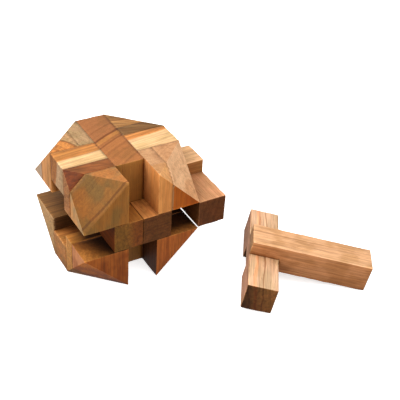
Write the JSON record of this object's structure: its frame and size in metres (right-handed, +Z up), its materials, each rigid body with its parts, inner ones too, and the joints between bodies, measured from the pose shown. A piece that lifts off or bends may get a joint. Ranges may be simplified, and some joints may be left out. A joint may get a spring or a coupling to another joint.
{
  "type": "wooden burr puzzle",
  "caption": "Interlocking wooden burr puzzle with sliced corners, partly opened: a notched tee lies beside it and another is drawn half out.",
  "frame": {"origin": "the middle of the puzzle's underside, on the surface it stands on", "axes": "+Z up; +X towards the tee that is drawn out; -Y towards the open front, where the ends of the two middle bars show; the loose tee lies at +X, -Y"},
  "size_m": [0.1961, 0.1712, 0.088],
  "materials": {
    "teak_pale": "sanded and lightly oiled",
    "teak_golden": "sanded and lightly oiled",
    "teak_brown": "sanded and lightly oiled",
    "teak_red": "sanded and lightly oiled",
    "teak_olive": "sanded and lightly oiled"
  },
  "bodies": {
    "frames": {"front_post": "teak_golden", "top_left_arm": "teak_pale", "top_right_arm": "teak_pale", "front_left_top_slab": "teak_red", "front_left_top_block": "teak_olive", "front_right_top_slab": "teak_pale", "front_right_top_block": "teak_golden", "front_left_bottom_slab": "teak_golden", "front_left_bottom_block": "teak_red", "front_right_bottom_slab": "teak_golden", "front_right_bottom_block": "teak_red", "back_post": "teak_brown", "bottom_left_arm": "teak_golden", "bottom_right_arm": "teak_golden", "back_top_block": "teak_golden", "back_bottom_block": "teak_brown", "back_left_top_slab": "teak_olive", "back_left_top_block": "teak_pale", "back_right_top_slab": "teak_brown", "back_right_top_block": "teak_olive", "back_left_bottom_slab": "teak_golden", "back_left_bottom_block": "teak_brown", "back_right_bottom_slab": "teak_brown", "back_right_bottom_block": "teak_golden"},
    "left_bar": {"left_bar": "teak_olive"},
    "right_bar": {"right_bar": "teak_brown"},
    "right_tee": {"right_tee_crossbar": "teak_brown", "right_tee_bar": "teak_golden"},
    "left_tee": {"left_tee_crossbar": "teak_golden", "left_tee_bar": "teak_pale"}
  },
  "joints": [
    {"name": "left_bar_slide", "type": "slide", "parent": "frames", "child": "left_bar", "axis": [-1, 0, 0], "range_m": [0, 0.048]},
    {"name": "right_bar_slide", "type": "slide", "parent": "frames", "child": "right_bar", "axis": [1, 0, 0], "range_m": [0, 0.048]},
    {"name": "right_tee_slide", "type": "slide", "parent": "right_bar", "child": "right_tee", "axis": [1, 0, 0], "range_m": [-0.022, 0.066]},
    {"name": "left_tee_lift", "type": "slide", "parent": "frames", "child": "left_tee", "axis": [0, 0, 1], "range_m": [0, 0.1]}
  ]
}
